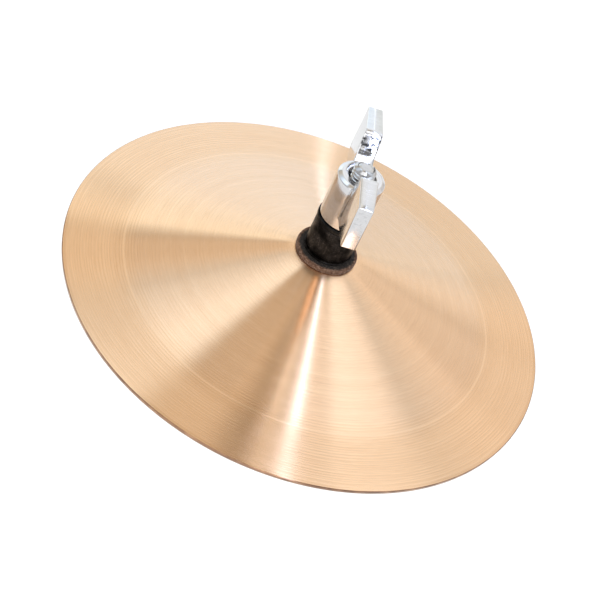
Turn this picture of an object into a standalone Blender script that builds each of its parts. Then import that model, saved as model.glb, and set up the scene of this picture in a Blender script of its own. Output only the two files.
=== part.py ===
"""Cup chime: a small conical bronze chime clamped on a threaded rod.

The rod stands on a tapped adapter that screws onto a stand. Going up it
carries a lock nut, a washer, a felt, the chime, a second felt, a spacer, a
captive washer and a wing nut. A thin sleeve on the rod passes through both
felts and the chime.

Units are metres, +Z runs up the rod, and the origin is the middle of the
adapter's lower face. The wings lie along Y.
"""

import math

import bmesh
import bpy

MM = 0.001

# How far a cutting solid runs past what it cuts
CUT_OVERRUN = 0.5 * MM

# Gaps between neighbours
SEAT_GAP = 0.25 * MM
THREAD_GAP = 0.25 * MM
FELT_HOLE_GAP = 0.3 * MM
CHIME_HOLE_GAP = 1.8 * MM

# Adapter: a turned coupling, tapped for the stand below and for the rod above
ADAPTER_LENGTH = 24.0 * MM
ADAPTER_RADIUS = 6.5 * MM
ADAPTER_CHAMFER = 0.5 * MM
STAND_THREAD_RADIUS = 3.4 * MM
STAND_THREAD_DEPTH = 12.5 * MM
STAND_THREAD_MOUTH = 0.6 * MM
DRILL_POINT_ANGLE = math.radians(118.0)
ROD_THREAD_DEPTH = 7.5 * MM
SPANNER_WIDTH = 11.0 * MM
SPANNER_FLAT_HEIGHT = 7.0 * MM
SPANNER_FLAT_BASE = 5.0 * MM
GRIP_GROOVE_DEPTH = 0.5 * MM
GRIP_GROOVE_WIDTH = 1.2 * MM
GRIP_GROOVE_BELOW_TOP = 4.5 * MM

# Rod
ROD_RADIUS = 2.9 * MM
ROD_END_CHAMFER = 0.6 * MM
ROD_ABOVE_NUT = 3.0 * MM
ROD_FLOOR_GAP = 0.5 * MM

# Lock nut
LOCK_NUT_WIDTH = 10.0 * MM
LOCK_NUT_HEIGHT = 5.0 * MM
LOCK_NUT_CHAMFER_INSET = 0.1 * MM
LOCK_NUT_CHAMFER_ANGLE = math.radians(30.0)

# Washer below the lower felt
SEAT_WASHER_RADIUS = 8.8 * MM
SEAT_WASHER_THICKNESS = 1.2 * MM
SEAT_WASHER_EDGE = 0.3 * MM

# Felts
FELT_RADIUS = 8.0 * MM
LOWER_FELT_THICKNESS = 3.0 * MM
UPPER_FELT_THICKNESS = 1.0 * MM
FELT_EDGE = 0.3 * MM

# Chime: a flat seat, a straight cone and a flatter outer band
CHIME_RADIUS = 63.5 * MM
CHIME_THICKNESS = 1.1 * MM
CHIME_HEIGHT = 16.4 * MM
CHIME_SEAT_RADIUS = 8.6 * MM
CHIME_SEAT_BLEND = 2.4 * MM
CHIME_RING_RADIUS = 48.65 * MM
CHIME_RING_HEIGHT = 2.75 * MM
CHIME_RING_BLEND = 0.8 * MM
CHIME_RIM_ROUNDING = 0.3 * MM

# Sleeve on the rod, through both felts and the chime
ROD_SLEEVE_RADIUS = 4.0 * MM
ROD_SLEEVE_EDGE = 0.2 * MM

# Spacer: a plain cylinder with a groove and a thin lip at its foot
SPACER_RADIUS = 6.15 * MM
SPACER_HEIGHT = 9.8 * MM
SPACER_TOP_CHAMFER = 0.2 * MM
SPACER_LIP_RADIUS = 6.35 * MM
SPACER_LIP_HEIGHT = 0.6 * MM
SPACER_GROOVE_DEPTH = 0.5 * MM
SPACER_GROOVE_HEIGHT = 0.9 * MM

# Captive washer under the wing nut
NUT_WASHER_RADIUS = 6.35 * MM
NUT_WASHER_THICKNESS = 1.3 * MM
NUT_WASHER_EDGE = 0.25 * MM

# Wing nut hub
HUB_RADIUS = 6.1 * MM
HUB_HEIGHT = 13.7 * MM
HUB_TOP_CHAMFER_WIDTH = 0.9 * MM
HUB_TOP_CHAMFER_DROP = 0.6 * MM
HUB_TOP_CHAMFER_BREAK = 0.3
HUB_BOTTOM_CHAMFER = 0.3 * MM
HUB_MOUTH_RADIUS = 3.6 * MM

# Wing outline seen from the side: distance from the axis, height over the hub.
# Its outer end leans in by WING_TIP_LEAN from its top corner down.
WING_REACH = 19.3 * MM
WING_CORNER_RISE = 6.3 * MM
WING_INNER_REACH = 8.6 * MM
WING_INNER_RISE = 7.2 * MM
WING_FOOT_REACH = 6.5 * MM
WING_FOOT_RISE = 0.9 * MM
WING_TIP_LEAN = 0.4 * MM
WING_TIP_DROP = 7.0 * MM
WING_ROOT_DROP = 10.1 * MM
WING_INNER_ROUNDING = 1.0 * MM

# Wing outline seen from above: it thins outwards and flares into the hub
WING_OUTER_WIDTH = 3.8 * MM
WING_NECK_WIDTH = 4.6 * MM
WING_NECK_OFFSET = 1.3 * MM
WING_FLARE_TOP_WIDTH = 5.4 * MM
WING_FLARE_BOTTOM_WIDTH = 7.2 * MM
WING_EDGE_ROUNDING = 0.35 * MM

# A wing's root fills at most this share of the hub's chord where it starts
WING_ROOT_SHARE = 0.95
# Cross sections closer together than this are joined
SECTION_SPACING = 0.05 * MM

# Colours
CHROME = (0.62, 0.62, 0.64)
STEEL = (0.5, 0.5, 0.5)
BLACK = (0.018, 0.016, 0.015)
FELT = (0.23, 0.19, 0.16)
BRONZE = (0.72, 0.46, 0.29)

# Facet counts
CHIME_STEPS = 96
ROUND_STEPS = 48
ROD_STEPS = 40
ARC_STEPS = 4

# Heights, from the adapter up to the lock nut, washer, felts and chime
ROD_BORE_RADIUS = ROD_RADIUS + THREAD_GAP
ROD_FLOOR_Z = ADAPTER_LENGTH - ROD_THREAD_DEPTH
LOCK_NUT_Z = ADAPTER_LENGTH + SEAT_GAP
SEAT_WASHER_Z = LOCK_NUT_Z + LOCK_NUT_HEIGHT + SEAT_GAP
LOWER_FELT_Z = SEAT_WASHER_Z + SEAT_WASHER_THICKNESS + SEAT_GAP
CHIME_UNDERSIDE_Z = LOWER_FELT_Z + LOWER_FELT_THICKNESS + SEAT_GAP
CHIME_SEAT_Z = CHIME_UNDERSIDE_Z + CHIME_THICKNESS
CHIME_RIM_Z = CHIME_SEAT_Z - CHIME_HEIGHT
FELT_HOLE_RADIUS = ROD_SLEEVE_RADIUS + FELT_HOLE_GAP
CHIME_HOLE_RADIUS = ROD_SLEEVE_RADIUS + CHIME_HOLE_GAP

# Heights, from the upper felt to the top of the rod
UPPER_FELT_Z = CHIME_SEAT_Z + SEAT_GAP
UPPER_FELT_TOP_Z = UPPER_FELT_Z + UPPER_FELT_THICKNESS
SPACER_Z = UPPER_FELT_TOP_Z + SEAT_GAP
NUT_WASHER_Z = SPACER_Z + SPACER_HEIGHT + SEAT_GAP
HUB_Z = NUT_WASHER_Z + NUT_WASHER_THICKNESS + SEAT_GAP
HUB_TOP_Z = HUB_Z + HUB_HEIGHT
ROD_TOP_Z = HUB_TOP_Z + ROD_ABOVE_NUT


def clear_scene():
    """Remove whatever the file holds."""
    for item in list(bpy.data.objects):
        bpy.data.objects.remove(item, do_unlink=True)


def new_collection(name):
    """A collection linked to the scene."""
    collection = bpy.data.collections.new(name)
    bpy.context.scene.collection.children.link(collection)
    return collection


def surface(name, colour, roughness, metallic):
    """A plain finish for one sub-part."""
    material = bpy.data.materials.new(name)
    material.use_nodes = True
    shader = material.node_tree.nodes["Principled BSDF"]
    shader.inputs["Base Color"].default_value = (*colour, 1.0)
    shader.inputs["Roughness"].default_value = roughness
    shader.inputs["Metallic"].default_value = metallic
    return material


def arc(centre, radius, start, end, steps=ARC_STEPS):
    """Points of an arc in a profile, as (distance from axis, height)."""
    points = []
    for index in range(steps + 1):
        angle = start + (end - start) * index / steps
        points.append((centre[0] + radius * math.cos(angle), centre[1] + radius * math.sin(angle)))
    return points


def blend(before, corner, after, length, steps=ARC_STEPS):
    """Replace a profile's corner by a smooth curve that starts and ends at length from it."""
    legs = []
    for neighbour in (before, after):
        distance = math.dist(corner, neighbour)
        reach = min(length, 0.45 * distance) / distance
        legs.append([corner[axis] + (neighbour[axis] - corner[axis]) * reach for axis in range(2)])
    points = []
    for index in range(steps + 1):
        share = index / steps
        weights = ((1.0 - share) ** 2, 2.0 * share * (1.0 - share), share ** 2)
        controls = (legs[0], corner, legs[1])
        points.append(tuple(sum(w * c[axis] for w, c in zip(weights, controls)) for axis in range(2)))
    return points


def turned(name, profile, steps, closed, collection):
    """Turn a profile about Z. It runs down the outer side, from top to bottom."""
    mesh = bpy.data.meshes.new(name)
    outline = bmesh.new()
    points = [outline.verts.new((radius, 0.0, height)) for radius, height in profile]
    for first, second in zip(points, points[1:]):
        outline.edges.new((first, second))
    if closed:
        outline.edges.new((points[-1], points[0]))
    outline.to_mesh(mesh)
    outline.free()
    item = bpy.data.objects.new(name, mesh)
    collection.objects.link(item)
    screw = item.modifiers.new("Turn", "SCREW")
    screw.axis = "Z"
    screw.angle = 2.0 * math.pi
    screw.steps = steps
    screw.render_steps = steps
    screw.use_merge_vertices = True
    screw.merge_threshold = 0.00001
    screw.use_smooth_shade = True
    return item


def ring_profile(inner, outer, base, height, edge):
    """A flat ring with small chamfers on its four edges."""
    edge = min(edge, 0.4 * height, 0.4 * (outer - inner))
    return [
        (outer - edge, base + height),
        (outer, base + height - edge),
        (outer, base + edge),
        (outer - edge, base),
        (inner + edge, base),
        (inner, base + edge),
        (inner, base + height - edge),
        (inner + edge, base + height),
    ]


def cut(item, tool, operation="DIFFERENCE"):
    """Cut one object with another, or join or intersect the two."""
    boolean = item.modifiers.new(operation.title(), "BOOLEAN")
    boolean.operation = operation
    boolean.solver = "EXACT"
    boolean.object = tool


def hide_tool(tool):
    """A cutting solid shows as wire only."""
    tool.hide_render = True
    tool.display_type = "WIRE"


def loft(name, sections, collection):
    """Join closed sections of equal point counts by walls, and cap both ends."""
    mesh = bpy.data.meshes.new(name)
    solid = bmesh.new()
    rows = [[solid.verts.new(point) for point in section] for section in sections]
    count = len(rows[0])
    for row, following in zip(rows, rows[1:]):
        for index in range(count):
            after = (index + 1) % count
            solid.faces.new((row[index], row[after], following[after], following[index]))
    solid.faces.new(rows[0])
    solid.faces.new(rows[-1])
    bmesh.ops.recalc_face_normals(solid, faces=solid.faces)
    solid.to_mesh(mesh)
    solid.free()
    item = bpy.data.objects.new(name, mesh)
    collection.objects.link(item)
    return item


def finish(item, material, angle=35.0):
    """Give a sub-part its finish and smooth its round faces."""
    item.data.materials.append(material)
    item.data.shade_smooth()
    item.data.set_sharp_from_angle(angle=math.radians(angle))


def stand_adapter(parts, tools, material):
    """Turned coupling with a blind thread at each end and two spanner flats."""
    top = ADAPTER_LENGTH
    groove_top = top - GRIP_GROOVE_BELOW_TOP
    groove_floor = ADAPTER_RADIUS - GRIP_GROOVE_DEPTH
    drill_tip = STAND_THREAD_DEPTH + STAND_THREAD_RADIUS / math.tan(DRILL_POINT_ANGLE / 2.0)
    profile = [
        (0.0, ROD_FLOOR_Z),
        (ROD_BORE_RADIUS, ROD_FLOOR_Z),
        (ROD_BORE_RADIUS, top),
        (ADAPTER_RADIUS - ADAPTER_CHAMFER, top),
        (ADAPTER_RADIUS, top - ADAPTER_CHAMFER),
        (ADAPTER_RADIUS, groove_top),
        (groove_floor, groove_top - GRIP_GROOVE_DEPTH),
        (groove_floor, groove_top - GRIP_GROOVE_WIDTH + GRIP_GROOVE_DEPTH / 2.0),
        (ADAPTER_RADIUS, groove_top - GRIP_GROOVE_WIDTH - GRIP_GROOVE_DEPTH / 2.0),
        (ADAPTER_RADIUS, ADAPTER_CHAMFER),
        (ADAPTER_RADIUS - ADAPTER_CHAMFER, 0.0),
        (STAND_THREAD_RADIUS + STAND_THREAD_MOUTH, 0.0),
        (STAND_THREAD_RADIUS, STAND_THREAD_MOUTH),
        (STAND_THREAD_RADIUS, STAND_THREAD_DEPTH),
        (0.0, drill_tip),
    ]
    adapter = turned("stand_adapter", profile, ROUND_STEPS, False, parts)
    depth = ADAPTER_RADIUS - SPANNER_WIDTH / 2.0
    for side in (-1, 1):
        bpy.ops.mesh.primitive_cube_add(size=1.0)
        flat = bpy.context.object
        flat.name = "spanner_flat_" + ("left" if side < 0 else "right")
        for collection in flat.users_collection:
            collection.objects.unlink(flat)
        tools.objects.link(flat)
        flat.scale = (2.0 * depth, 2.4 * ADAPTER_RADIUS, SPANNER_FLAT_HEIGHT)
        middle = SPANNER_WIDTH / 2.0 + depth
        flat.location = (side * middle, 0.0, SPANNER_FLAT_BASE + SPANNER_FLAT_HEIGHT / 2.0)
        hide_tool(flat)
        cut(adapter, flat)
    finish(adapter, material)


def lock_nut(parts, tools, material):
    """Hexagon nut: a six-sided prism whose corners a cone turns off."""
    corner = LOCK_NUT_WIDTH / math.sqrt(3.0)
    mesh = bpy.data.meshes.new("lock_nut")
    solid = bmesh.new()
    bmesh.ops.create_cone(
        solid, cap_ends=True, segments=6, radius1=corner, radius2=corner, depth=LOCK_NUT_HEIGHT
    )
    solid.to_mesh(mesh)
    solid.free()
    nut = bpy.data.objects.new("lock_nut", mesh)
    nut.location.z = LOCK_NUT_Z + LOCK_NUT_HEIGHT / 2.0
    parts.objects.link(nut)
    inside = LOCK_NUT_WIDTH / 2.0 - LOCK_NUT_CHAMFER_INSET
    outside = corner + CUT_OVERRUN
    drop = (outside - inside) * math.tan(LOCK_NUT_CHAMFER_ANGLE)
    high = LOCK_NUT_Z + LOCK_NUT_HEIGHT
    chamfer = turned("lock_nut_chamfer", [
        (0.0, high),
        (inside, high),
        (outside, high - drop),
        (outside, LOCK_NUT_Z + drop),
        (inside, LOCK_NUT_Z),
        (0.0, LOCK_NUT_Z),
    ], ROUND_STEPS, False, tools)
    hide_tool(chamfer)
    cut(nut, chamfer, "INTERSECT")
    bore = turned("lock_nut_bore", [
        (0.0, high + CUT_OVERRUN),
        (ROD_BORE_RADIUS, high + CUT_OVERRUN),
        (ROD_BORE_RADIUS, LOCK_NUT_Z - CUT_OVERRUN),
        (0.0, LOCK_NUT_Z - CUT_OVERRUN),
    ], ROD_STEPS, False, tools)
    hide_tool(bore)
    cut(nut, bore)
    finish(nut, material)


def threaded_rod(parts, material):
    """The rod, at its thread's outer size, with chamfered ends."""
    foot = ROD_FLOOR_Z + ROD_FLOOR_GAP
    rod = turned("threaded_rod", [
        (0.0, ROD_TOP_Z),
        (ROD_RADIUS - ROD_END_CHAMFER, ROD_TOP_Z),
        (ROD_RADIUS, ROD_TOP_Z - ROD_END_CHAMFER),
        (ROD_RADIUS, foot + ROD_END_CHAMFER),
        (ROD_RADIUS - ROD_END_CHAMFER, foot),
        (0.0, foot),
    ], ROD_STEPS, False, parts)
    finish(rod, material)


def chime(parts, material):
    """Thin cone with a flat seat round its hole and a flatter band at its rim."""
    seat = (CHIME_SEAT_RADIUS, CHIME_SEAT_Z)
    ring = (CHIME_RING_RADIUS, CHIME_RIM_Z + CHIME_RING_HEIGHT)
    rim = (CHIME_RADIUS, CHIME_RIM_Z)
    hole = (CHIME_HOLE_RADIUS, CHIME_SEAT_Z)
    profile = [hole]
    profile += blend(hole, seat, ring, CHIME_SEAT_BLEND)
    profile += blend(seat, ring, rim, CHIME_RING_BLEND, 2)
    profile.append(rim)
    shell = turned("chime", profile, CHIME_STEPS, False, parts)
    wall = shell.modifiers.new("Wall", "SOLIDIFY")
    wall.thickness = CHIME_THICKNESS
    wall.offset = -1.0
    wall.use_even_offset = True
    edge = shell.modifiers.new("Rim", "BEVEL")
    edge.width = min(CHIME_RIM_ROUNDING, 0.3 * CHIME_THICKNESS)
    edge.segments = 2
    edge.limit_method = "ANGLE"
    edge.angle_limit = math.radians(60.0)
    finish(shell, material)


def spacer_sleeve(parts, material):
    """Spacer: a plain body with a groove and a rounded lip at its foot."""
    groove_top = SPACER_Z + SPACER_LIP_HEIGHT + SPACER_GROOVE_HEIGHT
    groove_floor = SPACER_RADIUS - SPACER_GROOVE_DEPTH
    lip_round = SPACER_LIP_HEIGHT / 2.0
    high = SPACER_Z + SPACER_HEIGHT
    profile = [
        (SPACER_RADIUS - SPACER_TOP_CHAMFER, high),
        (SPACER_RADIUS, high - SPACER_TOP_CHAMFER),
        (SPACER_RADIUS, groove_top),
        (groove_floor, groove_top - SPACER_GROOVE_DEPTH),
        (groove_floor, SPACER_Z + SPACER_LIP_HEIGHT),
    ]
    lip_centre = (SPACER_LIP_RADIUS - lip_round, SPACER_Z + lip_round)
    profile += arc(lip_centre, lip_round, math.pi / 2.0, -math.pi / 2.0, 6)
    profile += [(ROD_BORE_RADIUS, SPACER_Z), (ROD_BORE_RADIUS, high)]
    sleeve = turned("spacer_sleeve", profile, ROUND_STEPS, True, parts)
    finish(sleeve, material)


def height_at(chain, reach):
    """Height of a chain of (reach, height) points at a distance from the axis."""
    for (near, low), (far, high) in zip(chain, chain[1:]):
        if reach <= far:
            return low + (high - low) * (reach - near) / (far - near)
    return chain[-1][1]


def wing_width(reach, root, share):
    """Width of a wing at a reach, and at a share of the way up its root."""
    neck = HUB_RADIUS + WING_NECK_OFFSET
    if reach >= neck:
        along = (reach - neck) / (WING_REACH - neck)
        return WING_NECK_WIDTH + (WING_OUTER_WIDTH - WING_NECK_WIDTH) * along
    inside_hub = WING_ROOT_SHARE * 2.0 * math.sqrt(HUB_RADIUS ** 2 - root ** 2)
    flare = WING_FLARE_BOTTOM_WIDTH + (WING_FLARE_TOP_WIDTH - WING_FLARE_BOTTOM_WIDTH) * share
    along = (neck - reach) / (neck - root)
    return WING_NECK_WIDTH + (min(flare, inside_hub) - WING_NECK_WIDTH) * along ** 2


def wing_section(root, reach, low, high, inset, slope):
    """Rounded rectangle across a wing, as (X, Y, Z) points. slope leans the outer end."""
    rounding = max(WING_EDGE_ROUNDING - inset, 0.2 * WING_EDGE_ROUNDING)
    rise = (HUB_TOP_Z - WING_ROOT_DROP, HUB_TOP_Z)
    points = []
    for side, up, start in ((1, 0, -90.0), (1, 1, 0.0), (-1, 1, 90.0), (-1, 0, 180.0)):
        height = high - inset if up else low + inset
        share = min(max((height - rise[0]) / (rise[1] - rise[0]), 0.0), 1.0)
        half = wing_width(reach, root, share) / 2.0 - inset
        centre = (side * (half - rounding), height - rounding if up else height + rounding)
        for x, z in arc(centre, rounding, math.radians(start), math.radians(start + 90.0), 2):
            points.append((x, reach - slope * (high - z), z))
    return points


def wing_sections():
    """Sections of the wing along +Y, from inside the hub wall out to its end."""
    root = (HUB_RADIUS + ROD_BORE_RADIUS) / 2.0
    foot = (WING_FOOT_REACH, HUB_TOP_Z + WING_FOOT_RISE)
    inner = (WING_INNER_REACH, HUB_TOP_Z + WING_INNER_RISE)
    corner = (WING_REACH, HUB_TOP_Z + WING_CORNER_RISE)
    hub_edge = (HUB_RADIUS - HUB_TOP_CHAMFER_WIDTH, HUB_TOP_Z - HUB_TOP_CHAMFER_DROP)
    top = [(root, hub_edge[1]), hub_edge]
    top += blend(hub_edge, foot, inner, WING_FOOT_RISE, 3)
    top += blend(foot, inner, corner, WING_INNER_ROUNDING, 3)
    top.append(corner)
    bottom = [
        (root, HUB_TOP_Z - WING_ROOT_DROP),
        (HUB_RADIUS, HUB_TOP_Z - WING_ROOT_DROP),
        (WING_REACH, HUB_TOP_Z - WING_TIP_DROP),
    ]
    neck = HUB_RADIUS + WING_NECK_OFFSET
    end = WING_REACH - WING_EDGE_ROUNDING
    reaches = [reach for reach, height in top + bottom if reach < end]
    reaches += [root + (neck - root) * step / ARC_STEPS for step in range(1, ARC_STEPS + 1)]
    reaches.append((neck + end) / 2.0)
    spaced = []
    for reach in sorted(reaches):
        if not spaced or reach - spaced[-1] > SECTION_SPACING:
            spaced.append(reach)
    sections = []
    for reach in spaced:
        sections.append(wing_section(
            root, reach, height_at(bottom, reach), height_at(top, reach), 0.0, 0.0
        ))
    lean = WING_TIP_LEAN / (WING_CORNER_RISE + WING_TIP_DROP)
    for back in (1.0, 0.3, 0.0):
        reach = WING_REACH - back * WING_EDGE_ROUNDING
        inset = (1.0 - math.sqrt(1.0 - (1.0 - back) ** 2)) * WING_EDGE_ROUNDING
        sections.append(wing_section(
            root, reach, height_at(bottom, reach), height_at(top, reach), inset, lean
        ))
    return sections


def wing_nut(parts, tools, material):
    """Long hub with a cast wing on each side, joined by flared roots."""
    rim = HUB_RADIUS - HUB_TOP_CHAMFER_WIDTH
    bulge = HUB_TOP_CHAMFER_BREAK
    hub = turned("wing_nut", [
        (rim, HUB_TOP_Z),
        (HUB_RADIUS - bulge * HUB_TOP_CHAMFER_WIDTH, HUB_TOP_Z - bulge * HUB_TOP_CHAMFER_DROP),
        (HUB_RADIUS, HUB_TOP_Z - HUB_TOP_CHAMFER_DROP),
        (HUB_RADIUS, HUB_Z + HUB_BOTTOM_CHAMFER),
        (HUB_RADIUS - HUB_BOTTOM_CHAMFER, HUB_Z),
        (ROD_BORE_RADIUS, HUB_Z),
        (ROD_BORE_RADIUS, HUB_TOP_Z - (HUB_MOUTH_RADIUS - ROD_BORE_RADIUS)),
        (HUB_MOUTH_RADIUS, HUB_TOP_Z),
    ], ROUND_STEPS, True, parts)
    sections = wing_sections()
    for side, label in ((1, "back"), (-1, "front")):
        placed = [[(side * x, side * y, z) for x, y, z in section] for section in sections]
        wing = loft("wing_" + label, placed, tools)
        hide_tool(wing)
        cut(hub, wing, "UNION")
    finish(hub, material)


def build():
    """Model every sub-part."""
    clear_scene()
    parts = new_collection("cup_chime")
    tools = new_collection("cup_chime_tools")
    stand_adapter(parts, tools, surface("adapter_chrome", CHROME, 0.14, 1.0))
    lock_nut(parts, tools, surface("lock_nut_steel", STEEL, 0.3, 1.0))
    threaded_rod(parts, surface("rod_steel", STEEL, 0.25, 1.0))
    washer = turned("seat_washer", ring_profile(
        ROD_BORE_RADIUS, SEAT_WASHER_RADIUS, SEAT_WASHER_Z, SEAT_WASHER_THICKNESS, SEAT_WASHER_EDGE
    ), ROUND_STEPS, True, parts)
    finish(washer, surface("washer_steel", CHROME, 0.2, 1.0))
    for name, base, thickness in (
        ("lower_felt", LOWER_FELT_Z, LOWER_FELT_THICKNESS),
        ("upper_felt", UPPER_FELT_Z, UPPER_FELT_THICKNESS),
    ):
        pad = turned(name, ring_profile(
            FELT_HOLE_RADIUS, FELT_RADIUS, base, thickness, FELT_EDGE
        ), ROUND_STEPS, True, parts)
        finish(pad, surface(name + "_wool", FELT, 0.95, 0.0))
    lining = turned("rod_sleeve", ring_profile(
        ROD_BORE_RADIUS, ROD_SLEEVE_RADIUS, LOWER_FELT_Z, UPPER_FELT_TOP_Z - LOWER_FELT_Z, ROD_SLEEVE_EDGE
    ), ROUND_STEPS, True, parts)
    finish(lining, surface("rod_sleeve_nylon", BLACK, 0.45, 0.0))
    chime(parts, surface("chime_bronze", BRONZE, 0.28, 1.0))
    spacer_sleeve(parts, surface("sleeve_nylon", BLACK, 0.45, 0.0))
    captive = turned("nut_washer", ring_profile(
        ROD_BORE_RADIUS, NUT_WASHER_RADIUS, NUT_WASHER_Z, NUT_WASHER_THICKNESS, NUT_WASHER_EDGE
    ), ROUND_STEPS, True, parts)
    finish(captive, surface("washer_nylon", BLACK, 0.35, 0.0))
    wing_nut(parts, tools, surface("nut_chrome", CHROME, 0.1, 1.0))


build()
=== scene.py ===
"""Looks of the cup chime: a turned bronze cone clamped between felts on a threaded rod.

Sections follow the object as it is put together, from the stand up. The floor, the light and
the camera come last. Lengths are metres. The rod stands along Z and the wings lie along Y.
"""

import math

import bmesh
import bpy
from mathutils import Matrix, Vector, noise


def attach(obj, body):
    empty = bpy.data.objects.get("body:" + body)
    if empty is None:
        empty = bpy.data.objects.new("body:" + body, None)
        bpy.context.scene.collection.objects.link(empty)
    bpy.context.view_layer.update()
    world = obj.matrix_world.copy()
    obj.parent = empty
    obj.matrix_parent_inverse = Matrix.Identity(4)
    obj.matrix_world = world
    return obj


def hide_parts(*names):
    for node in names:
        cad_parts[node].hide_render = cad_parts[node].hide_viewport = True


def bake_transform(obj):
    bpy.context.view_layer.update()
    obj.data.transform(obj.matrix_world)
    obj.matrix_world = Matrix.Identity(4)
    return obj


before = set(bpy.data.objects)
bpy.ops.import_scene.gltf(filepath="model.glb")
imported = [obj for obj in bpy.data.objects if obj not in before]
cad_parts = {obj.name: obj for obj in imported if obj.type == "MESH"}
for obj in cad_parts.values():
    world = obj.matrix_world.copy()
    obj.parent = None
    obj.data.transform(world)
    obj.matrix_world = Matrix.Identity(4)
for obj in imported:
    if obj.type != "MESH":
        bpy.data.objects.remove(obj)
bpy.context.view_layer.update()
MM = 0.001


# Stand adapter
# A coupling turned from steel bar and chromed. Its lower end is tapped M8 for a stand's rod,
# its upper end M6 for the chime's own rod, and two flats are milled on it for a spanner.

def between(near, far, share):
    """The point a share of the way from one (distance, height) point to another."""
    return tuple(near[k] + (far[k] - near[k]) * share for k in (0, 1))


def curved(start, corner, end, steps):
    """Points of a smooth curve from start to end that is drawn towards the corner."""
    curve = []
    for step in range(steps + 1):
        share = step / steps
        weights = ((1 - share) ** 2, 2 * share * (1 - share), share ** 2)
        drawn = list(zip(weights, (start, corner, end)))
        curve.append(tuple(sum(weight * point[k] for weight, point in drawn) for k in (0, 1)))
    return curve


def rounded(points, radius, steps=4):
    """Round every corner of a closed (distance, height) outline."""
    outline = []
    for index, corner in enumerate(points):
        legs = []
        for neighbour in (points[index - 1], points[(index + 1) % len(points)]):
            distance = math.dist(corner, neighbour)
            legs.append(between(corner, neighbour, min(radius, 0.4 * distance) / distance))
        outline += curved(legs[0], corner, legs[1], steps)
    return outline


def welded(mesh, sharp=30.0):
    """Merge doubled points, turn every face outwards and keep the real edges sharp."""
    solid = bmesh.new()
    solid.from_mesh(mesh)
    bmesh.ops.remove_doubles(solid, verts=solid.verts, dist=1e-7)
    bmesh.ops.dissolve_degenerate(solid, edges=solid.edges, dist=1e-8)
    bmesh.ops.recalc_face_normals(solid, faces=solid.faces)
    solid.to_mesh(mesh)
    solid.free()
    mesh.shade_smooth()
    mesh.set_sharp_from_angle(angle=math.radians(sharp))


def placed(name, mesh):
    """A piece in the scene, at the origin."""
    piece = bpy.data.objects.new(name, mesh)
    bpy.context.scene.collection.objects.link(piece)
    return piece


def turned(name, outline, segments):
    """Turn a closed outline of (distance, height) points about Z into a closed mesh."""
    verts, faces = [], []
    rows = len(outline)
    for segment in range(segments):
        angle = 2.0 * math.pi * segment / segments
        cosine, sine = math.cos(angle), math.sin(angle)
        verts += [(distance * cosine, distance * sine, height) for distance, height in outline]
    for segment in range(segments):
        here, there = segment * rows, (segment + 1) % segments * rows
        for row in range(rows):
            low = (row + 1) % rows
            faces.append((here + row, here + low, there + low, there + row))
    mesh = bpy.data.meshes.new(name)
    mesh.from_pydata(verts, [], faces)
    welded(mesh)
    return placed(name, mesh)


def cut(piece, tool, operation="DIFFERENCE"):
    """Cut one piece with another and drop the cutter."""
    boolean = piece.modifiers.new("Cut", "BOOLEAN")
    boolean.operation = operation
    boolean.solver = "EXACT"
    boolean.object = tool
    settled(piece)
    bpy.data.objects.remove(tool, do_unlink=True)


def settled(piece):
    """Turn a piece's modifiers into plain mesh."""
    graph = bpy.context.evaluated_depsgraph_get()
    mesh = bpy.data.meshes.new_from_object(piece.evaluated_get(graph))
    piece.modifiers.clear()
    piece.data = mesh
    welded(mesh)


def block(name, low, high):
    """A plain box for cutting with."""
    solid = bmesh.new()
    bmesh.ops.create_cube(solid, size=1.0)
    for vert in solid.verts:
        for k in (0, 1, 2):
            vert.co[k] = low[k] if vert.co[k] < 0 else high[k]
    mesh = bpy.data.meshes.new(name)
    solid.to_mesh(mesh)
    solid.free()
    return placed(name, mesh)


ADAPTER_TOP_Z = 24.0 * MM
ADAPTER_RADIUS = 6.5 * MM
ROD_BORE_RADIUS = 3.15 * MM
STAND_THREAD_CREST = 3.4 * MM
STAND_THREAD_ROOT = 3.95 * MM
STAND_THREAD_DEPTH = 12.5 * MM
ROD_BORE_Z = ADAPTER_TOP_Z - 7.5 * MM
GROOVE_Z = ADAPTER_TOP_Z - 4.5 * MM
GROOVE_RADIUS = ADAPTER_RADIUS - 0.5 * MM
DRILL_HALF_ANGLE = math.radians(59.0)
FLAT_DISTANCE = 5.5 * MM
FLAT_LOW_Z = 5.0 * MM
FLAT_HIGH_Z = 12.0 * MM
CUTTER_REACH = 8.0 * MM

adapter_outline = [
    (ADAPTER_RADIUS - 0.5 * MM, ADAPTER_TOP_Z),
    (ADAPTER_RADIUS, ADAPTER_TOP_Z - 0.5 * MM),
    (ADAPTER_RADIUS, GROOVE_Z),
    (GROOVE_RADIUS, GROOVE_Z - 0.5 * MM),
    (GROOVE_RADIUS, GROOVE_Z - 0.95 * MM),
    (ADAPTER_RADIUS, GROOVE_Z - 1.45 * MM),
    (ADAPTER_RADIUS, 0.5 * MM),
    (ADAPTER_RADIUS - 0.5 * MM, 0.0),
    (STAND_THREAD_ROOT + 0.1 * MM, 0.0),
    (STAND_THREAD_ROOT, 0.1 * MM),
    (STAND_THREAD_ROOT, STAND_THREAD_DEPTH - 1.2 * MM),
    (STAND_THREAD_CREST, STAND_THREAD_DEPTH - 0.6 * MM),
    (STAND_THREAD_CREST, STAND_THREAD_DEPTH),
    (0.0, STAND_THREAD_DEPTH + STAND_THREAD_CREST / math.tan(DRILL_HALF_ANGLE)),
    (0.0, ROD_BORE_Z),
    (ROD_BORE_RADIUS, ROD_BORE_Z),
    (ROD_BORE_RADIUS, ADAPTER_TOP_Z - 0.3 * MM),
    (ROD_BORE_RADIUS + 0.3 * MM, ADAPTER_TOP_Z),
]
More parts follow.
